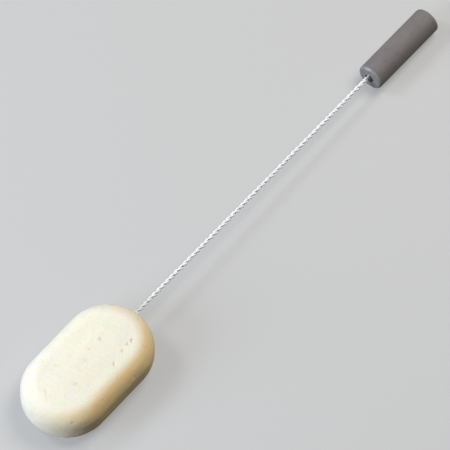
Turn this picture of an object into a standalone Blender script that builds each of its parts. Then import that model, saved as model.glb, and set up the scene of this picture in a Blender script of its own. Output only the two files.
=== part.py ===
"""A long-handled bath sponge: a foam pad on a twisted coated wire, with a foam grip.

One steel wire in a white plastic coat is folded in half. The fold is opened into a loop that
lies inside the pad, the two legs are twisted together as the stem, and the cut ends are
glued in the bore of a grey foam grip. Lengths are in metres. +X runs from the pad to the
grip, +Z is up, and the object lies on its pad and on the far end of its grip.
"""

from math import asin, atan2, ceil, cos, hypot, pi, sin

import bmesh
import bpy
import numpy as np
from mathutils import Vector

# Pad of open foam, with full round ends and a soft edge all round
PAD_LENGTH = 0.153
PAD_WIDTH = 0.0915
PAD_HEIGHT = 0.0475
PAD_EDGE = 0.019
PAD_CROWN = 0.0012

# Coated wire
CORE_DIAMETER = 0.0011
COAT_DIAMETER = 0.0022
STRAND_GAP = 0.00043
TWIST_PITCH = 0.0134
STEM_LENGTH = 0.362
STEM_IN_PAD = 0.024
STEM_IN_GRIP = 0.058
LOOP_LENGTH = 0.064
LOOP_WIDTH = 0.038

# Where the stem leaves the pad
STEM_HEIGHT = 0.0255
STEM_SIDE = 0.0042

# Grip, cut from foam tube
GRIP_DIAMETER = 0.0284
GRIP_LENGTH = 0.094
GRIP_BORE = 0.0104
GRIP_EDGE = 0.003
STEM_IN_BORE_SIDE = 0.0019

# Set glue round the stem
PAD_GLUE_DIAMETER = 0.0094
PAD_GLUE_LENGTH = 0.012
PAD_GLUE_DEPTH = 0.0035
GRIP_GLUE_LENGTH = 0.030
GRIP_GLUE_FROM_END = 0.006

# Clearances between pieces
FIT = 0.0003
CORE_FIT = 0.00025

# Facets
RING_ARC_POINTS = 17
RING_SIDE_POINTS = 4
EDGE_STEPS = 5
CROWN_STEPS = 3
POINTS_PER_TURN = 6
LOOP_POINTS = 34
COAT_SIDES = 6
CORE_SIDES = 4
GRIP_SIDES = 40
GRIP_EDGE_STEPS = 3
GLUE_SIDES = 20

# Worked out from the above
STRAND_RADIUS = (COAT_DIAMETER + STRAND_GAP) / 2
PAIR_RADIUS = STRAND_RADIUS + COAT_DIAMETER / 2
GRIP_FACE = STEM_LENGTH
GRIP_END = STEM_LENGTH + GRIP_LENGTH
# Greatest value of sin(p) * sin(p / 2) ** 2, which sets the loop's width
LOOP_BULGE = 3 * 3 ** 0.5 / 8


def clear_scene():
    for item in list(bpy.data.objects):
        bpy.data.objects.remove(item, do_unlink=True)


def material(name, colour, roughness, metallic=0.0):
    made = bpy.data.materials.new(name)
    made.use_nodes = True
    made.diffuse_color = (*colour, 1.0)
    shader = made.node_tree.nodes["Principled BSDF"]
    shader.inputs["Base Color"].default_value = (*colour, 1.0)
    shader.inputs["Roughness"].default_value = roughness
    shader.inputs["Metallic"].default_value = metallic
    return made


def add_skin(bm, rings, closed=False):
    """Faces from ring to ring, and from the last back to the first where closed."""
    rows = [[bm.verts.new(point) for point in ring] for ring in rings]
    pairs = zip(rows, rows[1:] + rows[:1]) if closed else zip(rows, rows[1:])
    for low, high in pairs:
        for i, (a, b) in enumerate(zip(low, high)):
            j = (i + 1) % len(low)
            bm.faces.new((a, low[j], high[j], b))
    return rows


def loft(rings, ends):
    """A closed mesh through rings: ends is "caps", or "joined" for a section round a hole."""
    bm = bmesh.new()
    rows = add_skin(bm, rings, closed=ends == "joined")
    if ends == "caps":
        bm.faces.new(rows[0])
        bm.faces.new(rows[-1])
    bmesh.ops.recalc_face_normals(bm, faces=bm.faces)
    return bm


def add_object(name, bm, finish, sharp=pi / 5):
    mesh = bpy.data.meshes.new(name)
    bm.to_mesh(mesh)
    bm.free()
    mesh.shade_smooth()
    mesh.set_sharp_from_angle(angle=sharp)
    if finish:
        mesh.materials.append(finish)
    made = bpy.data.objects.new(name, mesh)
    bpy.context.collection.objects.link(made)
    return made


def as_cutter(cutter, target):
    cutter.hide_render = True
    cutter.display_type = "WIRE"
    cut = target.modifiers.new(cutter.name, "BOOLEAN")
    cut.operation = "DIFFERENCE"
    cut.solver = "EXACT"
    cut.object = cutter


def circle(centre, radius, sides):
    """Points of a circle square to X."""
    turns = np.arange(sides) * 2 * pi / sides
    x = np.full(sides, centre[0])
    return np.stack([x, centre[1] + radius * np.cos(turns), centre[2] + radius * np.sin(turns)], 1)


def turned(profile, sides, centre=(0, 0)):
    """Rings of a profile of (x, radius) points turned about a line along X."""
    return [circle((x, *centre), radius, sides) for x, radius in profile]


# Pad

def pad_ring(inset, height):
    """One level outline of the pad: a half circle at each end, with the straight sides divided."""
    radius = PAD_WIDTH / 2 - inset
    straight = PAD_LENGTH - PAD_WIDTH
    points = []
    for end in (1, -1):
        for k in range(RING_ARC_POINTS):
            turn = pi * k / (RING_ARC_POINTS - 1) - pi / 2
            x = straight / 2 + radius * cos(turn)
            points.append((end * x, end * radius * sin(turn), height))
        for k in range(1, RING_SIDE_POINTS):
            x = straight / 2 - straight * k / RING_SIDE_POINTS
            points.append((end * x, end * radius, height))
    return points


def make_pad(finish):
    """Level outlines drawn in along a quarter circle at both edges, with a low crown on top."""
    levels = []
    for k in range(EDGE_STEPS + 1):
        turn = pi / 2 * k / EDGE_STEPS
        levels.append((PAD_EDGE * (1 - sin(turn)), PAD_EDGE * (1 - cos(turn))))
    shoulder = PAD_HEIGHT - PAD_CROWN
    for k in range(EDGE_STEPS + 1):
        turn = pi / 2 * k / EDGE_STEPS
        levels.append((PAD_EDGE * (1 - cos(turn)), shoulder - PAD_EDGE * (1 - sin(turn))))
    for k in range(1, CROWN_STEPS + 1):
        inset = PAD_EDGE + k / (CROWN_STEPS + 1) * (PAD_WIDTH / 2 - PAD_EDGE)
        levels.append((inset, PAD_HEIGHT - PAD_CROWN * (1 - k / CROWN_STEPS) ** 2))
    return add_object("sponge", loft([pad_ring(*level) for level in levels], "caps"), finish)


# Wire, in the stem's own frame: X runs along the stem from the pad's end to the grip

def loop_path(points):
    """The opened fold: x runs out and back as a cosine, y bulges as sin(p) * sin(p / 2) ** 2."""
    p = np.linspace(0, 2 * pi, points)
    x = -STEM_IN_PAD - LOOP_LENGTH * (1 - np.cos(p)) / 2
    bulge = LOOP_WIDTH / 2 - COAT_DIAMETER / 2
    y = STRAND_RADIUS * np.cos(p / 2) + bulge * np.sin(p) * np.sin(p / 2) ** 2 / LOOP_BULGE
    return np.stack([x, y, np.zeros(points)], 1)


def leg_path(side):
    """One leg of the stem: a helix whose twist sets in smoothly over the first pitch."""
    length = STEM_IN_PAD + STEM_LENGTH + STEM_IN_GRIP
    steps = ceil(length / TWIST_PITCH * POINTS_PER_TURN)
    along = np.linspace(0, length, steps + 1)
    setting_in = along ** 2 / (2 * TWIST_PITCH)
    twisted = np.where(along < TWIST_PITCH, setting_in, along - TWIST_PITCH / 2)
    turn = 2 * pi * twisted / TWIST_PITCH
    x = along - STEM_IN_PAD
    return np.stack([x, side * STRAND_RADIUS * np.cos(turn), side * STRAND_RADIUS * np.sin(turn)], 1)


def wire_path():
    """One unbroken line: in along one leg, round the loop and back out along the other."""
    return np.concatenate([leg_path(1)[:0:-1], loop_path(LOOP_POINTS), leg_path(-1)[1:]])


def rings_along(path, radius, sides):
    """Rings square to a path, carried from point to point without spin."""
    tangents = np.gradient(path, axis=0)
    tangents /= np.linalg.norm(tangents, axis=1)[:, None]
    across = Vector((0, 0, 1))
    rings = []
    for point, tangent in zip(path, tangents):
        forward = Vector(tangent)
        across = (across - forward * across.dot(forward)).normalized()
        third = forward.cross(across)
        turns = [2 * pi * k / sides for k in range(sides)]
        rings.append([Vector(point) + radius * (across * cos(t) + third * sin(t)) for t in turns])
    return rings


def least_gap(path, diameter):
    """Least gap of the tube to itself, between points that lie over half a pitch apart on it."""
    along = np.concatenate([[0], np.cumsum(np.linalg.norm(np.diff(path, axis=0), axis=1))])
    far = np.abs(along[:, None] - along[None, :]) > TWIST_PITCH / 2
    apart = np.linalg.norm(path[:, None] - path[None, :], axis=2)
    return apart[far].min() - diameter


def make_core(finish):
    core = loft(rings_along(wire_path(), CORE_DIAMETER / 2, CORE_SIDES), "caps")
    return add_object("wire_core", core, finish)


def make_coating(finish):
    """An outer skin and a bore along one path, with the ring between them filled at each end."""
    path = wire_path()
    print("least gap of the wire to itself: %.2f mm" % (least_gap(path, COAT_DIAMETER) * 1000))
    bm = bmesh.new()
    skin = add_skin(bm, rings_along(path, COAT_DIAMETER / 2, COAT_SIDES))
    bore = add_skin(bm, rings_along(path, CORE_DIAMETER / 2 + CORE_FIT, CORE_SIDES))
    open_edges = [edge for edge in bm.edges if edge.is_boundary]
    for end in (0, -1):
        around = set(skin[end] + bore[end])
        rims = [edge for edge in open_edges if edge.verts[0] in around]
        bmesh.ops.triangle_fill(bm, edges=rims)
    bmesh.ops.recalc_face_normals(bm, faces=bm.faces)
    return add_object("wire_coating", bm, finish)


# Grip and set glue, in the same frame

def edge_profile(length, radius):
    """Outer line of the grip from one face to the other, with a quarter circle at each."""
    turns = [pi / 2 * k / GRIP_EDGE_STEPS for k in range(GRIP_EDGE_STEPS + 1)]
    near = [(GRIP_EDGE * (1 - sin(t)), radius - GRIP_EDGE * (1 - cos(t))) for t in reversed(turns)]
    far = [(length - x, r) for x, r in reversed(near)]
    return near + far


def make_grip(finish):
    """A length of foam tube, its bore wider than the stem, which lies to one side in it."""
    bore = GRIP_BORE / 2
    profile = edge_profile(GRIP_LENGTH, GRIP_DIAMETER / 2) + [(GRIP_LENGTH, bore), (0, bore)]
    placed = [(GRIP_FACE + x, radius) for x, radius in profile]
    rings = turned(placed, GRIP_SIDES, (-STEM_IN_BORE_SIDE, 0))
    return add_object("grip", loft(rings, "joined"), finish)


def make_glue(name, start, length, outer_radius, outer_side, finish):
    """A plug with the twisted pair's round way through it, which may lie off its centre."""
    hole = PAIR_RADIUS + FIT
    rings = [
        circle((start, outer_side, 0), outer_radius, GLUE_SIDES),
        circle((start + length, outer_side, 0), outer_radius, GLUE_SIDES),
        circle((start + length, 0, 0), hole, GLUE_SIDES),
        circle((start, 0, 0), hole, GLUE_SIDES),
    ]
    return add_object(name, loft(rings, "joined"), finish)


def make_pad_cutters():
    """The foam's own channel round the loop, and the hole round the stem and its glue."""
    channel = loft(rings_along(loop_path(LOOP_POINTS), COAT_DIAMETER / 2 + FIT, COAT_SIDES), "caps")
    hole = PAIR_RADIUS + FIT
    pocket = PAD_GLUE_DIAMETER / 2 + FIT
    inner = -PAD_GLUE_DEPTH - PAD_GLUE_LENGTH - FIT
    outer = -PAD_GLUE_DEPTH + FIT
    profile = [
        (-STEM_IN_PAD - FIT, hole),
        (inner, hole),
        (inner, pocket),
        (outer, pocket),
        (outer, hole),
        (PAD_EDGE, hole),
    ]
    return [
        add_object("loop_channel", channel, None),
        add_object("stem_hole", loft(turned(profile, GLUE_SIDES), "caps"), None),
    ]


def assemble():
    """Lays the pad flat and tips the stem until the far end of the grip touches down too."""
    reach = GRIP_END - GRIP_EDGE
    rise = GRIP_DIAMETER / 2 - GRIP_EDGE
    tilt = asin((STEM_HEIGHT - GRIP_EDGE) / hypot(reach, rise)) - atan2(rise, reach)
    far_end = PAD_LENGTH / 2 + reach * cos(tilt) + rise * sin(tilt) + GRIP_EDGE
    middle = (far_end - PAD_LENGTH / 2) / 2

    stem = bpy.data.objects.new("stem_line", None)
    stem.location = (PAD_LENGTH / 2 - middle, STEM_SIDE, STEM_HEIGHT)
    stem.rotation_euler = (0, tilt, 0)
    bpy.context.collection.objects.link(stem)

    pad = make_pad(material("cream_foam", (0.92, 0.84, 0.64), 0.95))
    pad.location = (-middle, 0, 0)
    coat = make_coating(material("white_plastic", (0.85, 0.88, 0.88), 0.35))
    core = make_core(material("steel_wire", (0.56, 0.57, 0.58), 0.3, 1.0))
    grip = make_grip(material("grey_foam", (0.19, 0.18, 0.175), 0.85))

    amber = material("set_glue", (0.70, 0.55, 0.30), 0.3)
    glue_start = -PAD_GLUE_DEPTH - PAD_GLUE_LENGTH
    pad_glue = make_glue("pad_glue", glue_start, PAD_GLUE_LENGTH, PAD_GLUE_DIAMETER / 2, 0, amber)
    plug_start = GRIP_FACE + STEM_IN_GRIP - GRIP_GLUE_FROM_END - GRIP_GLUE_LENGTH
    plug_radius = GRIP_BORE / 2 - FIT
    grip_glue = make_glue(
        "grip_glue", plug_start, GRIP_GLUE_LENGTH, plug_radius, -STEM_IN_BORE_SIDE, amber
    )

    cutters = make_pad_cutters()
    for piece in [coat, core, grip, pad_glue, grip_glue, *cutters]:
        piece.parent = stem
    for cutter in cutters:
        as_cutter(cutter, pad)


clear_scene()
assemble()
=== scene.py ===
"""A long-handled bath sponge: cream foam pad, twisted white coated wire, grey foam grip."""

from math import asin, cos, pi, radians, sin

import bpy
import numpy as np
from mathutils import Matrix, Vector


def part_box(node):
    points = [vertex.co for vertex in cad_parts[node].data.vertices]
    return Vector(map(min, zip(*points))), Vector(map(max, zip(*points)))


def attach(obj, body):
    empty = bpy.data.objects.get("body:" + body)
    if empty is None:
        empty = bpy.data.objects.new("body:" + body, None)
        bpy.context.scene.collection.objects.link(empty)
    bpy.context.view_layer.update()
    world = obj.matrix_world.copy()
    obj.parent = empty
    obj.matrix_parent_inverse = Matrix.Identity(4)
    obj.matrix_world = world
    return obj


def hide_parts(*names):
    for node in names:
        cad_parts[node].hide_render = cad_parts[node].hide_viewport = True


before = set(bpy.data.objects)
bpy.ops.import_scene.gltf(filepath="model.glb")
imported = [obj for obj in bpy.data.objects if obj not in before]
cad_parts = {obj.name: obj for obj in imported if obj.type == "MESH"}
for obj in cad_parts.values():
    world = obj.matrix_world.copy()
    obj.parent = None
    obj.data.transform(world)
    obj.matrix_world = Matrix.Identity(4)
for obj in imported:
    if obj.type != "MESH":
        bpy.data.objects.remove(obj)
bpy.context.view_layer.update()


# The steel wire, one length folded in half: the fold is opened as a loop inside the pad,
# and the legs are twisted together as the stem. Drawn steel, slightly brushed. Only its cut
# ends could be seen, deep in the grip.

CORE_RADIUS = 0.00055
CORE_SIDES = 8
STRAND_RADIUS = 0.0011
STRAND_TOUCH = 0.00002
TWIST_PITCH = 0.0134
STEM_LENGTH = 0.362
STEM_IN_PAD = 0.024
STEM_IN_GRIP = 0.058
STEM_HEIGHT = 0.0255
STEM_SIDE = 0.0042
LOOP_LENGTH = 0.064
LOOP_WIDTH = 0.038
LOOP_PEAK = 3 * 3 ** 0.5 / 8
LEG_POINTS = 924
LOOP_POINTS = 170
SHARP_EDGE = radians(50)
STEEL_DARK = (0.50, 0.51, 0.52)
STEEL_BRIGHT = (0.62, 0.63, 0.64)
STEEL_ROUGHNESS = (0.25, 0.45)
DRAWN_LINE = 0.0006
DRAWN_STRETCH = (12, 1, 1)


def vertices(mesh):
    """The places of a mesh's vertices, one row each."""
    places = np.empty(len(mesh.vertices) * 3)
    mesh.vertices.foreach_get("co", places)
    return places.reshape(-1, 3)


# The stem starts at the pad's end, and its way forward is the grip's longest direction.
pad_low, pad_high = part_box("sponge")
stem_start = np.array([pad_high.x, STEM_SIDE, STEM_HEIGHT])
grip_points = vertices(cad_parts["grip"].data)
grip_centre = grip_points.mean(0)
forward = np.linalg.svd(grip_points - grip_centre, full_matrices=False)[2][0]
forward *= np.sign(forward[0])
sideways = np.array([0.0, 1.0, 0.0])
upward = np.cross(forward, sideways)


def in_place(x, y, z):
    """From the stem's own line to the object: start + x * forward + y * sideways + z * upward."""
    steps = x[..., None] * forward + y[..., None] * sideways + z[..., None] * upward
    return stem_start + steps


def wire_path():
    """In along one leg, round the loop and out along the other. Each leg is a helix whose
    turn grows as the square of the way for one pitch, then evenly; the loop's x goes out and
    back as a cosine while its y bulges as sin(p) * sin(p / 2) ** 2, whose peak is LOOP_PEAK."""
    reach = STEM_IN_PAD + STEM_LENGTH + STEM_IN_GRIP
    along = np.linspace(0, reach, LEG_POINTS)
    setting_in = along ** 2 / (2 * TWIST_PITCH)
    twisted = np.where(along < TWIST_PITCH, setting_in, along - TWIST_PITCH / 2)
    turn = 2 * pi * twisted / TWIST_PITCH
    radius = STRAND_RADIUS + STRAND_TOUCH
    leg = np.stack([along - STEM_IN_PAD, radius * np.cos(turn), radius * np.sin(turn)], 1)
    p = np.linspace(0, 2 * pi, LOOP_POINTS)
    bulge = (LOOP_WIDTH / 2 - STRAND_RADIUS) * np.sin(p) * np.sin(p / 2) ** 2 / LOOP_PEAK
    loop = np.stack([
        -STEM_IN_PAD - LOOP_LENGTH * (1 - np.cos(p)) / 2,
        radius * np.cos(p / 2) + bulge,
        0 * p,
    ], 1)
    other = leg * [1, -1, -1]
    return np.concatenate([leg[:0:-1], loop, other[1:]])


def rings(path, radius, sides):
    """A circle of points round each point of the path, square to it: the path's point plus
    radius * (cos(turn) * across + sin(turn) * lifted), where across lies level."""
    tangent = np.gradient(path, axis=0)
    tangent /= np.linalg.norm(tangent, axis=1, keepdims=True)
    across = np.cross([0.0, 0.0, 1.0], tangent)
    across /= np.linalg.norm(across, axis=1, keepdims=True)
    lifted = np.cross(tangent, across)
    turn = np.linspace(0, 2 * pi, sides, endpoint=False)[None, :, None]
    ring = across[:, None] * np.cos(turn) + lifted[:, None] * np.sin(turn)
    return path[:, None] + radius * ring


def surface(name, points, joined=False):
    """A mesh through a grid of points. Each row closes on itself; the rows close in a ring
    where joined, and end in flat caps where not."""
    rows, columns = points.shape[:2]
    index = np.arange(rows * columns).reshape(rows, columns)
    if joined:
        index = np.vstack([index, index[:1]])
    beside = np.roll(index, -1, axis=1)
    quads = np.stack([index[:-1], beside[:-1], beside[1:], index[1:]], -1).reshape(-1, 4)
    faces = quads.tolist()
    if not joined:
        faces += [index[0][::-1].tolist(), index[-1].tolist()]
    mesh = bpy.data.meshes.new(name)
    mesh.from_pydata(points.reshape(-1, 3), [], faces)
    mesh.shade_smooth()
    mesh.set_sharp_from_angle(angle=SHARP_EDGE)
    made = bpy.data.objects.new(name, mesh)
    bpy.context.scene.collection.objects.link(made)
    return made


class Level:
    """A number that varies over a surface; sums and products of levels add Math nodes."""

    def __init__(self, finish, socket):
        self.finish = finish
        self.socket = socket

    def maths(self, operation, first, second, limit=False):
        """A Math node on levels or plain numbers, its result held from 0 to 1 where limited."""
        settings = {"operation": operation, "use_clamp": limit}
        return self.finish.level("ShaderNodeMath", settings, {0: first, 1: second})

    def __add__(self, other):
        return self.maths("ADD", self, other)

    def __sub__(self, other):
        return self.maths("SUBTRACT", self, other)

    def __rsub__(self, other):
        return self.maths("SUBTRACT", other, self)

    def __mul__(self, other):
        return self.maths("MULTIPLY", self, other)

    def __truediv__(self, other):
        return self.maths("DIVIDE", self, other)

    def __pow__(self, other):
        return self.maths("POWER", self, other)

    __radd__ = __add__
    __rmul__ = __mul__

    def held(self):
        """Held between 0 and 1."""
        return self.maths("ADD", self, 0.0, limit=True)

    def spread(self, low, high):
        """From low, where the level is 0, to high, where it is 1."""
        return low + (high - low) * self


class Finish:
    """One material on a Principled shader, whose plain numbers are set on its own sockets."""

    def __init__(self, name, **plain):
        self.material = bpy.data.materials.new(name)
        self.material.use_nodes = True
        self.tree = self.material.node_tree
        self.shader = self.tree.nodes["Principled BSDF"]
        for socket, value in plain.items():
            self.shader.inputs[socket.replace("_", " ")].default_value = value

    def add(self, kind, settings, inputs):
        """A node of that kind, its settings made first, then its sockets filled or linked."""
        node = self.tree.nodes.new(kind)
        for key, value in settings.items():
            setattr(node, key, value)
        for key, value in inputs.items():
            self.feed(node.inputs[key], value)
        return node

    def feed(self, socket, value):
        """Links a level or another node's socket to this one, or sets a plain value on it."""
        if isinstance(value, Level):
            value = value.socket
        if isinstance(value, bpy.types.NodeSocket):
            self.tree.links.new(value, socket)
        else:
            socket.default_value = value

    def level(self, kind, settings, inputs, output=0):
        """A node whose output is used as a level."""
        return Level(self, self.add(kind, settings, inputs).outputs[output])

    def spot(self, centre=(0, 0, 0), stretch=(1, 1, 1), turn=(0, 0, 0)):
        """The place on the object, centred, turned and stretched."""
        place = self.add("ShaderNodeTexCoord", {}, {}).outputs["Object"]
        moved = {"Vector": place, "Location": centre, "Rotation": turn, "Scale": stretch}
        return self.add("ShaderNodeMapping", {"vector_type": "TEXTURE"}, moved).outputs[0]

    def clouds(self, size, detail=3.0, at=None):
        """Soft blotches of about that size in metres."""
        given = {"Vector": at or self.spot(), "Scale": 1 / size, "Detail": detail}
        return self.level("ShaderNodeTexNoise", {}, given)

    def cells(self, size):
        """Packed cells of about that size in metres: 0 at a cell's middle, more outward."""
        given = {"Vector": self.spot(), "Scale": 1 / size}
        return self.level("ShaderNodeTexVoronoi", {}, given)

    def worn(self, name):
        """A value that the mesh carries from vertex to vertex."""
        settings = {"attribute_name": name, "attribute_type": "GEOMETRY"}
        return self.level("ShaderNodeAttribute", settings, {}, output="Fac")

    def between(self, amount, low, high):
        """A colour between two, by an amount from 0 to 1."""
        ends = [(*c, 1) if isinstance(c, tuple) else c for c in (low, high)]
        node = self.add("ShaderNodeMix", {"data_type": "RGBA"}, {0: amount, 6: ends[0], 7: ends[1]})
        return node.outputs[2]

    def relief(self, height, depth, strength, over=None):
        """Fine relief of that depth in metres, on the surface or over another relief."""
        given = {"Height": height, "Distance": depth, "Strength": strength}
        if over is not None:
            given["Normal"] = over
        return self.add("ShaderNodeBump", {}, given).outputs[0]

    def wear(self, *pieces, **fed):
        """Feeds the shader's varying sockets and puts the material on the pieces."""
        for socket, value in fed.items():
            self.feed(self.shader.inputs[socket.replace("_", " ")], value)
        for piece in pieces:
            piece.data.materials.clear()
            piece.data.materials.append(self.material)


path = in_place(*wire_path().T)
core = surface("steel_wire", rings(path, CORE_RADIUS, CORE_SIDES))
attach(core, "root")
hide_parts("wire_core")

steel = Finish("drawn_steel", Metallic=1.0)
drawn = steel.clouds(DRAWN_LINE, at=steel.spot(stretch=DRAWN_STRETCH))
steel.wear(
    core,
    Base_Color=steel.between(drawn, STEEL_DARK, STEEL_BRIGHT),
    Roughness=drawn.spread(*STEEL_ROUGHNESS),
)


# The wire's coat: smooth white vinyl drawn on hot and shrunk tight on the steel, a little
# glossy, so that the twisted legs read as a white two-strand rope. It is painted greyer in
# the groove between the strands, as painted shade, and greyer in random smudges.

COAT_SIDES = 14
COAT_WHITE = (0.93, 0.965, 0.99)
COAT_GROOVE_SHADE_AND_SMUDGE = (0.90, 0.935, 0.95)
COAT_ROUGHNESS = (0.30, 0.48)
GROOVE_LEVEL = 1.15
GROOVE_FALL = 1.5
PAINTED_SHADE_IN_GROOVE = 0.8
GREY_IN_SMUDGE = 0.12
SMUDGE_SIZE = 0.009
GRAIN_SIZE = 0.0012
GRAIN_DEPTH = 0.00004

coat = surface("wire_coat", rings(path, STRAND_RADIUS, COAT_SIDES))
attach(coat, "root")
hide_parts("wire_coating")

# The way out from the line between the strands is 1 at a strand's far side, and the
# groove's painted shade falls with it.
tilt = asin(-forward[2])
vinyl = Finish("white_vinyl", Coat_Weight=0.25, Coat_Roughness=0.2)
axial = vinyl.spot(centre=tuple(stem_start), turn=(0, tilt, 0))
parts = vinyl.add("ShaderNodeSeparateXYZ", {}, {0: axial})
y, z = Level(vinyl, parts.outputs[1]), Level(vinyl, parts.outputs[2])
from_line = (y * y + z * z) ** 0.5 / (2 * STRAND_RADIUS)
groove = (GROOVE_LEVEL - from_line * GROOVE_FALL).held()
smudge = vinyl.clouds(SMUDGE_SIZE, detail=4.0)
# Painted shade in the groove between the strands, plus random grey smudges
groove_shade_and_smudge = (groove * PAINTED_SHADE_IN_GROOVE + smudge * GREY_IN_SMUDGE).held()
vinyl.wear(
    coat,
    Base_Color=vinyl.between(groove_shade_and_smudge, COAT_WHITE, COAT_GROOVE_SHADE_AND_SMUDGE),
    Roughness=smudge.spread(*COAT_ROUGHNESS),
    Normal=vinyl.relief(vinyl.clouds(GRAIN_SIZE), GRAIN_DEPTH, 0.5),
)


# The pad: a slab of open-cell polyurethane foam cut to full round ends, with its edges
# rounded all the way, over the wire's loop. Fine cut cells all over, a few larger pores
# where a bubble was cut through, and a dimple where the foam closes on the stem.

PAD_EDGE = 0.019
PAD_CROWN = 0.0012
CROWN_REACH = 0.75
PAD_AROUND = 180
PAD_UP = 25
PAD_VOXEL = 0.0007
PAD_SEED = 7
LYING_UNDER = 0.0004
TINY = 1e-6

# The skin's uneven waves: their number, how close they lie in radians a metre, and height
SKIN_WAVES = ((5, 50, 0.00022), (16, 450, 0.0003))

# A hollow's depth goes as its level to this power: a round bottom and a soft brim
BOWL = 1.5
SMALL_PORES = 170
SMALL_PORE_SIZES = (0.0005, 0.0010)
SMALL_PORE_LENGTH = 1.3
SMALL_PORE_DEPTH = 0.7
SMALL_PORE_SHADE = 0.26

# The larger pores: place along, across and up from the pad's middle, then half length, half
# width and depth, all in millimetres, and turn in degrees
LARGE_PORES = (
    (-27.5, -9.4, 46.3, 2.4, 2.1, 1.3, 0),
    (10.0, 5.6, 46.3, 3.2, 1.9, 1.2, -20),
    (38.1, -19.1, 46.3, 2.1, 1.6, 1.3, 0),
    (44.2, -19.7, 46.3, 3.6, 1.7, 1.2, 45),
    (29.3, -20.2, 46.3, 2.2, 1.6, 1.1, 30),
    (13.1, -24.0, 46.3, 3.9, 1.5, 1.1, 45),
    (25.5, 4.6, 46.3, 3.4, 2.8, 1.0, 20),
    (-1.5, 0.1, 46.3, 3.4, 2.8, 0.5, 0),
    (-4.5, -9.6, 46.3, 1.8, 1.4, 0.5, 0),
    (-13.6, 12.7, 46.3, 1.8, 1.5, 0.5, 0),
    (-52.3, 7.9, 46.3, 2.6, 1.8, 0.5, 60),
    (20.0, -44.3, 34.7, 1.6, 1.3, 1.0, 0),
    (-58.9, -31.8, 38.0, 1.8, 1.4, 1.1, 50),
    (-74.4, -13.7, 19.2, 1.4, 1.1, 0.8, 0),
    (-68.6, -25.2, 30.4, 1.4, 1.1, 0.8, 0),
    (-58.4, -36.5, 22.9, 1.5, 1.1, 0.8, 0),
    (67.7, -7.9, 42.8, 1.4, 1.1, 1.0, 0),
)
LARGE_PORE_SHADE = 0.32
LARGE_PORE_SPREAD = 0.7
ENTRY_INSET = 0.001
ENTRY_RADIUS = 0.0034
ENTRY_SHADE = 0.8
DIMPLE_RADIUS = 0.0075
DIMPLE_DEPTH = 0.0022

# The foam is painted tan as painted shade where it is steep, in full from about 35 degrees, most on
# the side that faces this way, away from the key lamp
SHADED_SIDE_WAY = np.array([0.24, -0.97, 0.0])
SIDE_SHADE_FALL = 0.18
SIDE_SHADE_SPREAD = 0.75

FOAM_TOP = (0.965, 0.885, 0.76)
FOAM_SIDE_SHADE = (0.95, 0.705, 0.37)
FOAM_HOLLOW_SHADE = (0.52, 0.515, 0.33)
FOAM_ROUGHNESS = (0.86, 0.98)
FOAM_GLOW_RADIUS = (1.0, 0.7, 0.45)
FOAM_GLOW_SCALE = 0.005
FINE_CELL = 0.0008
FINE_CELL_DEPTH = 0.00045
FINE_CELL_NARROW = 2.6
COARSE_CELL = 0.0021
COARSE_CELL_DEPTH = 0.0006
COARSE_CELL_NARROW = 1.2
BLOTCH_SIZE = 0.022
BLOTCH_TINT = 0.2
PORE_SHADE_WEIGHT = 0.9
CELL_SHADE_WEIGHT = 0.35

pad_length = pad_high.x - pad_low.x
pad_width = pad_high.y - pad_low.y
pad_height = pad_high.z - pad_low.z
pad_centre = np.array([(pad_low.x + pad_high.x) / 2, 0, 0])
half_straight = (pad_length - pad_width) / 2
flat_radius = pad_width / 2 - PAD_EDGE
flat_top = pad_height - PAD_CROWN - PAD_EDGE


def pad_block():
    """Level outlines of the slab, one over another: the sign of cos(angle) * half_straight +
    radius * cos(angle) along, radius * sin(angle) across, where the radius draws in by
    PAD_EDGE * (1 - sin) and (1 - cos) of a quarter turn under and over the straight side."""
    turn = np.linspace(0, pi / 2, PAD_UP)
    inset = np.concatenate([PAD_EDGE * (1 - np.sin(turn)), PAD_EDGE * (1 - np.cos(turn))])
    top = pad_height - PAD_CROWN
    height = np.concatenate([PAD_EDGE * (1 - np.cos(turn)), top - PAD_EDGE * (1 - np.sin(turn))])
    angle = np.linspace(0, 2 * pi, PAD_AROUND, endpoint=False)
    radius = (pad_width / 2 - inset)[:, None]
    x = np.sign(np.cos(angle)) * half_straight + radius * np.cos(angle)
    y = radius * np.sin(angle)
    return np.stack([x, y, np.broadcast_to(height[:, None], x.shape)], -1) + pad_centre


def on_pad(points):
    """The nearest point of the slab's surface, and the way out there: the slab is everything
    within PAD_EDGE of a flat core, itself all within flat_radius of a straight line."""
    local = points - pad_centre
    line = np.clip(local[:, 0], -half_straight, half_straight)
    away = np.stack([local[:, 0] - line, local[:, 1]], 1)
    far = np.linalg.norm(away, axis=1, keepdims=True)
    away *= np.minimum(1, flat_radius / np.maximum(far, TINY))
    height = np.clip(local[:, 2], PAD_EDGE, flat_top)
    nearest = np.stack([line + away[:, 0], away[:, 1], height], 1)
    outward = local - nearest
    outward /= np.linalg.norm(outward, axis=1, keepdims=True)
    return nearest + PAD_EDGE * outward + pad_centre, outward


def ripple(points, waves, starts):
    """The sum of sin(point * wave + start) over some plane waves, at each point."""
    return sum(np.sin(points @ wave + start) for wave, start in zip(waves, starts))


def hollow(points, centre, half_length, half_width, along=(1.0, 0.0, 0.0)):
    """How far each point lies inside an oval: 1 - (down / half_length) ** 2 - (across /
    half_width) ** 2, which is 1 at its centre, and 0 from its edge outward."""
    away = points - centre
    down = away @ np.array(along)
    squared = (down / half_length) ** 2 + ((away ** 2).sum(1) - down ** 2) / half_width ** 2
    return np.clip(1 - squared, 0, 1)


def carry(mesh, **levels):
    """Writes values into the mesh from vertex to vertex, for its material to read."""
    for name, values in levels.items():
        kept = mesh.attributes.new(name, "FLOAT", "POINT")
        kept.data.foreach_set("value", values.astype(np.float32))


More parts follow.
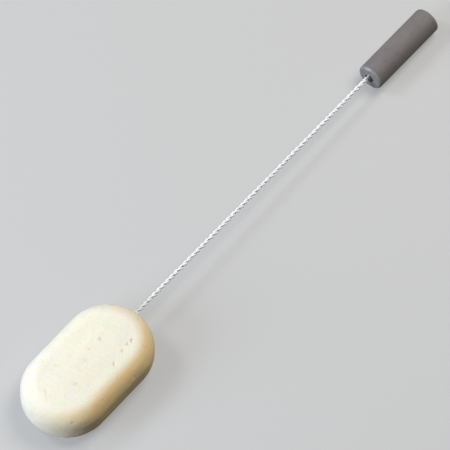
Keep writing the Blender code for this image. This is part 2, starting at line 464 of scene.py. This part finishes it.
# The slab on an even grid, each vertex then put exactly on its formula
pad = surface("foam_pad", pad_block())
evening = pad.modifiers.new("even_grid", "REMESH")
evening.mode = "VOXEL"
evening.voxel_size = PAD_VOXEL
even = bpy.data.meshes.new_from_object(pad.evaluated_get(bpy.context.evaluated_depsgraph_get()))
pad.modifiers.clear()
pad.data = even
points, outward = on_pad(vertices(even))

# The crown: a smooth step up from the rim of the flat top toward its middle
local = points - pad_centre
line = np.clip(local[:, 0], -half_straight, half_straight)
inward = 1 - np.hypot(local[:, 0] - line, local[:, 1]) / flat_radius
rise = np.clip(inward / CROWN_REACH, 0, 1)
points[:, 2] += PAD_CROWN * rise ** 2 * (3 - 2 * rise) * (outward[:, 2] > 0)

# The uneven skin, which stays flat where the pad lies on the floor
chance = np.random.default_rng(PAD_SEED)
lying = points[:, 2] < LYING_UNDER
shift = np.zeros(len(points))
for number, waviness, swell in SKIN_WAVES:
    waves = chance.normal(0, waviness, (number, 3))
    starts = chance.uniform(0, 2 * pi, number)
    shift += swell * ripple(points, waves, starts) / number
shift *= ~lying

# The pores, each with its depth and the painted shade in its hollow
depth = np.zeros(len(points))
shade = np.zeros(len(points))
picks = chance.choice(len(points), SMALL_PORES, replace=False)
sizes = chance.uniform(*SMALL_PORE_SIZES, SMALL_PORES)
turns = chance.uniform(0, pi, SMALL_PORES)
for pick, size, turn in zip(picks, sizes, turns):
    if not lying[pick]:
        way = (cos(turn), sin(turn), 0.0)
        pit = hollow(points, points[pick], size * SMALL_PORE_LENGTH, size, way)
        depth = np.maximum(depth, size * SMALL_PORE_DEPTH * pit ** BOWL)
        shade = np.maximum(shade, SMALL_PORE_SHADE * pit)

for x, y, z, half_length, half_width, deep, turn in LARGE_PORES:
    place = pad_centre + np.array([x, y, z]) / 1000
    way = (cos(radians(turn)), sin(radians(turn)), 0.0)
    pit = hollow(points, place, half_length / 1000, half_width / 1000, way)
    depth = np.maximum(depth, deep / 1000 * pit ** BOWL)
    shade = np.maximum(shade, LARGE_PORE_SHADE * deep * pit ** LARGE_PORE_SPREAD)

# The dimple where the foam closes on the stem, and painted shade round the stem's hole
entry = stem_start - ENTRY_INSET * forward
dimple = DIMPLE_DEPTH * hollow(points, entry, DIMPLE_RADIUS, DIMPLE_RADIUS) ** BOWL
shade = np.maximum(shade, ENTRY_SHADE * hollow(points, entry, ENTRY_RADIUS, ENTRY_RADIUS))
points += (shift - depth - dimple)[:, None] * outward
even.vertices.foreach_set("co", points.ravel())

# Painted shade: the steep sides are tinted tan, most on the side away from the key lamp
steep = np.clip((1 - outward[:, 2]) / SIDE_SHADE_FALL, 0, 1) ** SIDE_SHADE_SPREAD
sidelong = np.linalg.norm(outward[:, :2], axis=1) + TINY
facing = 0.5 + 0.5 * (outward @ SHADED_SIDE_WAY) / sidelong
carry(even, pore=shade, yellowed=steep * facing ** 2)
even.update()
even.shade_smooth()
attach(pad, "root")
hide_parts("sponge")

foam = Finish("cream_foam", Specular_IOR_Level=0.15, Sheen_Weight=0.1, Subsurface_Weight=1.0)
foam.shader.inputs["Subsurface Radius"].default_value = FOAM_GLOW_RADIUS
foam.shader.inputs["Subsurface Scale"].default_value = FOAM_GLOW_SCALE
fine = foam.cells(FINE_CELL)
coarse = foam.cells(COARSE_CELL)
blotch = foam.clouds(BLOTCH_SIZE, detail=4.0)
# From cream to the tan of the painted side shade, with random blotches
side_shade_and_blotch = (foam.worn("yellowed") + blotch * BLOTCH_TINT - BLOTCH_TINT / 2).held()
ground = foam.between(side_shade_and_blotch, FOAM_TOP, FOAM_SIDE_SHADE)
# Painted shade: the pores and the hollow middles of the foam cells are painted darker
pits = (1.0 - fine * FINE_CELL_NARROW).held() * (1.0 - coarse * COARSE_CELL_NARROW).held()
hollow_shade = (foam.worn("pore") * PORE_SHADE_WEIGHT + pits * CELL_SHADE_WEIGHT).held()
coarse_relief = foam.relief(coarse, COARSE_CELL_DEPTH, 0.25)
foam.wear(
    pad,
    Base_Color=foam.between(hollow_shade, ground, FOAM_HOLLOW_SHADE),
    Roughness=blotch.spread(*FOAM_ROUGHNESS),
    Normal=foam.relief(fine, FINE_CELL_DEPTH, 0.55, over=coarse_relief),
)


# Set adhesive round the stem just inside the pad: a clear amber bead that keeps the loop
# from working out of the foam. The same adhesive fills the grip's bore round the stem's end.

GLUE_AMBER = (0.62, 0.44, 0.18)
GLUE_PALE = (0.74, 0.60, 0.34)
GLUE_ROUGHNESS = (0.18, 0.43)
GLUE_GLOW_SCALE = 0.002
GLUE_CLOUD = 0.003
GLUE_RELIEF = 0.0002

glue = Finish("set_adhesive", IOR=1.5, Coat_Weight=0.3, Subsurface_Weight=0.15)
glue.shader.inputs["Subsurface Scale"].default_value = GLUE_GLOW_SCALE
cloudy = glue.clouds(GLUE_CLOUD)
glue.wear(
    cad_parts["pad_glue"],
    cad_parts["grip_glue"],
    Base_Color=glue.between(cloudy, GLUE_AMBER, GLUE_PALE),
    Roughness=cloudy.spread(*GLUE_ROUGHNESS),
    Normal=glue.relief(cloudy, GLUE_RELIEF, 0.4),
)


# The grip: a length of grey closed-cell foam tube, cut square at both ends, slipped over the
# stem's end. Its skin is faintly pebbled and takes small dents; the cut faces show open
# cells. Dents and cells are painted darker as painted shade, and the cut faces' rims are
# painted paler as a painted highlight. The stem lies to one side of the bore.

GRIP_EDGE = 0.003
GRIP_EDGE_ROWS = 13
GRIP_BORE_RADIUS = 0.0052
GRIP_COLUMNS = 168
GRIP_ROW = 0.0008
GRIP_SEED = 11
GRIP_WAVES = 14
GRIP_WAVINESS = (120, 900)
GRIP_SWELL = 0.00012
DENTS = 70
DENT_SIZES = (0.0008, 0.0024)
DENT_LENGTH = 1.5
DENT_DEPTH = 0.08
NICK_TURN = radians(76)
NICK_INSET = 0.0009
NICK_HALF_LENGTH = 0.0042
NICK_HALF_WIDTH = 0.0016
NICK_DEPTH = 0.0004
FACE_CELLS = 360
FACE_CELL_SIZES = (0.0004, 0.0009)
FACE_CELL_DEPTH = 0.5
RIM_WIDTH = 0.0012
RIM_HIGHLIGHT = 0.4
NICK_SPREAD = 0.7
FULL_PIT = 0.0004

GRIP_GREY = (0.186, 0.170, 0.174)
GRIP_CUT = (0.335, 0.325, 0.315)
GRIP_PAINTED_HIGHLIGHT = (0.66, 0.65, 0.62)
GRIP_PIT_SHADE_AND_MOTTLE = (0.12, 0.11, 0.105)
GRIP_ROUGHNESS = (0.62, 0.87)
TUBE_CELL = 0.00055
PEBBLE_SIZE = 0.0014
TUBE_RELIEF = 0.0002
CLOUD_SIZE = 0.018
CLOUD_TINT = 0.5
CUT_TINT = 0.6
TINT_DROP = 0.1
PIT_SHADE = 0.5
PEBBLE_TINT = 0.15

way_along = (grip_points - grip_centre) @ forward
grip_near = grip_centre + way_along.min() * forward
grip_length = np.ptp(way_along)
from_axis = grip_points - grip_centre - way_along[:, None] * forward
grip_radius = np.linalg.norm(from_axis, axis=1).max()


def grip_section():
    """The wall's section as one closed line, near face, skin, far face, bore: for each point
    the way along, the radius, the way out as (along, across) and how far it is cut. The two
    edges are quarter circles, GRIP_EDGE * (1 - sin) along and GRIP_EDGE * (1 - cos) inward."""
    turn = np.linspace(0, pi / 2, GRIP_EDGE_ROWS)
    across = np.arange(GRIP_BORE_RADIUS, grip_radius - GRIP_EDGE, GRIP_ROW / 2)
    skin = np.arange(GRIP_EDGE, grip_length - GRIP_EDGE, GRIP_ROW)[1:]
    bore = np.arange(GRIP_ROW, grip_length, 2 * GRIP_ROW)
    drop = GRIP_EDGE * (1 - np.sin(turn))
    edge = grip_radius - GRIP_EDGE * (1 - np.cos(turn))
    back_turn = turn[::-1]
    stretches = (
        (0 * across, across, -1, 0, 1),
        (drop[::-1], edge[::-1], -np.sin(back_turn), np.cos(back_turn), np.sin(back_turn)),
        (skin, 0 * skin + grip_radius, 0, 1, 0),
        (grip_length - drop, edge, np.sin(turn), np.cos(turn), np.sin(turn)),
        (0 * across + grip_length, across[::-1], 1, 0, 1),
        (bore[::-1], 0 * bore + GRIP_BORE_RADIUS, 0, -1, 1),
    )
    filled = [[np.broadcast_to(part, stretch[0].shape) for part in stretch] for stretch in stretches]
    return [np.concatenate(parts) for parts in zip(*filled)]


# The section turned about the stem's direction: near + along * forward + radius * radial
along, radius, out_along, out_across, cut = [part[:, None] for part in grip_section()]
angle = np.linspace(0, 2 * pi, GRIP_COLUMNS, endpoint=False)[None, :]
radial = np.cos(angle)[..., None] * sideways + np.sin(angle)[..., None] * upward
wall = grip_near + along[..., None] * forward + radius[..., None] * radial
wall_out = out_along[..., None] * forward + out_across[..., None] * radial
points, outward = wall.reshape(-1, 3), wall_out.reshape(-1, 3)


def all_round(row_values):
    """A value of each row of the wall, given to every point of the row."""
    return np.broadcast_to(row_values, wall.shape[:2]).ravel()


chance = np.random.default_rng(GRIP_SEED)
on_cut = all_round(cut)
waves = chance.normal(0, 1, (GRIP_WAVES, 3)) * chance.uniform(*GRIP_WAVINESS, (GRIP_WAVES, 1))
starts = chance.uniform(0, 2 * pi, GRIP_WAVES)
uneven = ripple(points, waves, starts) / GRIP_WAVES

# Small dents in the skin, longer along the grip
depth = np.zeros(len(points))
for pick in chance.choice(np.flatnonzero(on_cut == 0), DENTS):
    size = chance.uniform(*DENT_SIZES)
    dent = hollow(points, points[pick], size * DENT_LENGTH, size, forward)
    depth = np.maximum(depth, DENT_DEPTH * size * dent ** BOWL)

# A shallow dent on the near rim, longer round the rim, where a painted highlight goes
nick_way = cos(NICK_TURN) * sideways + sin(NICK_TURN) * upward
nick_run = cos(NICK_TURN) * upward - sin(NICK_TURN) * sideways
nick = grip_near + NICK_INSET * forward + (grip_radius - NICK_INSET) * nick_way
nick_dent_and_highlight = hollow(points, nick, NICK_HALF_LENGTH, NICK_HALF_WIDTH, nick_run)
depth = np.maximum(depth, NICK_DEPTH * nick_dent_and_highlight ** BOWL)

# Open cells on the cut faces, spread evenly over their area, and in the bore
open_cells = np.flatnonzero(on_cut == 1)
odds = all_round(radius)[open_cells]
for pick in chance.choice(open_cells, FACE_CELLS, p=odds / odds.sum()):
    size = chance.uniform(*FACE_CELL_SIZES)
    cell = hollow(points, points[pick], size, size)
    depth = np.maximum(depth, FACE_CELL_DEPTH * size * cell ** BOWL)
points += (GRIP_SWELL * uneven - depth)[:, None] * outward

grip = surface("grip_tube", points.reshape(wall.shape), joined=True)
# Painted highlight: the cut faces' rims, and most the spot on the near rim, are painted paler
from_rim = np.clip(1 + (radius - grip_radius) / RIM_WIDTH, 0, 1) * cut
rim = np.maximum(RIM_HIGHLIGHT * all_round(from_rim), nick_dent_and_highlight ** NICK_SPREAD)
carry(grip.data, cut=on_cut, rim=rim, pit=depth / FULL_PIT)
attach(grip, "root")
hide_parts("grip")

tube = Finish("grey_foam_tube", Specular_IOR_Level=0.3, Sheen_Weight=0.1)
closed_cells = tube.cells(TUBE_CELL)
pebble = tube.clouds(PEBBLE_SIZE)
cloud = tube.clouds(CLOUD_SIZE, detail=4.0)
paler = (cloud * CLOUD_TINT + tube.worn("cut") * CUT_TINT - TINT_DROP).held()
# Painted shade: dents and open cells darker by their depth; the pebbling darker at random
pit_shade_and_mottle = (tube.worn("pit") * PIT_SHADE + pebble * PEBBLE_TINT).held()
body = tube.between(paler, GRIP_GREY, GRIP_CUT)
# The painted highlight on the rims
body = tube.between(tube.worn("rim").held(), body, GRIP_PAINTED_HIGHLIGHT)
body = tube.between(pit_shade_and_mottle, body, GRIP_PIT_SHADE_AND_MOTTLE)
pebbled = tube.relief(pebble, TUBE_RELIEF, 0.35)
tube.wear(
    grip,
    Base_Color=body,
    Roughness=cloud.spread(*GRIP_ROUGHNESS),
    Normal=tube.relief(closed_cells, TUBE_RELIEF, 0.3, over=pebbled),
)


# The stage: a plain pale floor and soft light. The floor looks pale to the camera and to
# reflections, and throws less light up at the object than it shows, so that undersides
# stay in shade.

FLOOR_SIZE = 8.0
FLOOR_PALE = (0.32, 0.32, 0.32)
FLOOR_GLOW = (0.283, 0.287, 0.291)
FLOOR_BOUNCE = (0.12, 0.11, 0.10)
NO_GLOW = (0.0, 0.0, 0.0)
SKY_COLOUR = (0.80, 0.86, 1.0, 1)
SKY_STRENGTH = 0.06

floor_mesh = bpy.data.meshes.new("floor")
half = FLOOR_SIZE / 2
corners = [(-half, -half, 0), (half, -half, 0), (half, half, 0), (-half, half, 0)]
floor_mesh.from_pydata(corners, [], [(0, 1, 2, 3)])
floor = bpy.data.objects.new("floor", floor_mesh)
bpy.context.scene.collection.objects.link(floor)

paper = Finish("pale_floor", Roughness=0.95, Specular_IOR_Level=0.1, Emission_Strength=1.0)
ray = paper.add("ShaderNodeLightPath", {}, {})
seen = Level(paper, ray.outputs["Is Camera Ray"]) + Level(paper, ray.outputs["Is Glossy Ray"])
seen = (seen + Level(paper, ray.outputs["Is Transmission Ray"])).held()
paper.wear(
    floor,
    Base_Color=paper.between(seen, FLOOR_BOUNCE, FLOOR_PALE),
    Emission_Color=paper.between(seen, NO_GLOW, FLOOR_GLOW),
)


def lamp(name, place, size, watts, colour):
    """A square soft light at a place, turned to the middle of the object."""
    light = bpy.data.lights.new(name, "AREA")
    light.size = size
    light.energy = watts
    light.color = colour
    made = bpy.data.objects.new(name, light)
    made.location = place
    made.rotation_euler = (-Vector(place)).to_track_quat("-Z", "Y").to_euler()
    bpy.context.scene.collection.objects.link(made)


lamp("key", (-0.75, 1.45, 1.75), 0.7, 17.8, (0.91, 0.95, 1.0))
lamp("overhead", (1.05, -0.3, 2.15), 1.3, 40.5, (1.0, 0.94, 0.85))
lamp("cool_side", (-2.05, 0.8, 0.85), 1.3, 43, (0.78, 0.87, 1.0))

world = bpy.data.worlds.new("soft_room")
world.use_nodes = True
sky = world.node_tree.nodes["Background"]
sky.inputs["Color"].default_value = SKY_COLOUR
sky.inputs["Strength"].default_value = SKY_STRENGTH
bpy.context.scene.world = world


# The camera: far away with a long lens, so that what is parallel stays parallel, looking
# down from the pad's end and one side. CAMERA_SCALE is in pixels a metre, and the origin
# falls on the pixel PICTURE_AIM.

CAMERA_TURN = radians(-50.0)
CAMERA_RISE = radians(60.4)
CAMERA_AWAY = 6.0
CAMERA_SCALE = 1003.5
CAMERA_REACH = 60
PICTURE = 450
PICTURE_AIM = (237.0, 227.0)
SENSOR = 36.0

level_run = cos(CAMERA_RISE)
back = Vector((
    sin(CAMERA_TURN) * level_run,
    -cos(CAMERA_TURN) * level_run,
    sin(CAMERA_RISE),
))
right = Vector((cos(CAMERA_TURN), sin(CAMERA_TURN), 0))
up = back.cross(right)
lens = bpy.data.cameras.new("camera")
lens.sensor_width = SENSOR
lens.lens = CAMERA_SCALE * CAMERA_AWAY / PICTURE * SENSOR
lens.clip_end = CAMERA_REACH
aim = right * (PICTURE / 2 - PICTURE_AIM[0]) / CAMERA_SCALE
aim += up * (PICTURE_AIM[1] - PICTURE / 2) / CAMERA_SCALE
camera = bpy.data.objects.new("camera", lens)
camera.location = aim + back * CAMERA_AWAY
camera.rotation_euler = back.to_track_quat("Z", "Y").to_euler()
bpy.context.scene.collection.objects.link(camera)
bpy.context.scene.camera = camera
bpy.context.scene.view_settings.view_transform = "Standard"
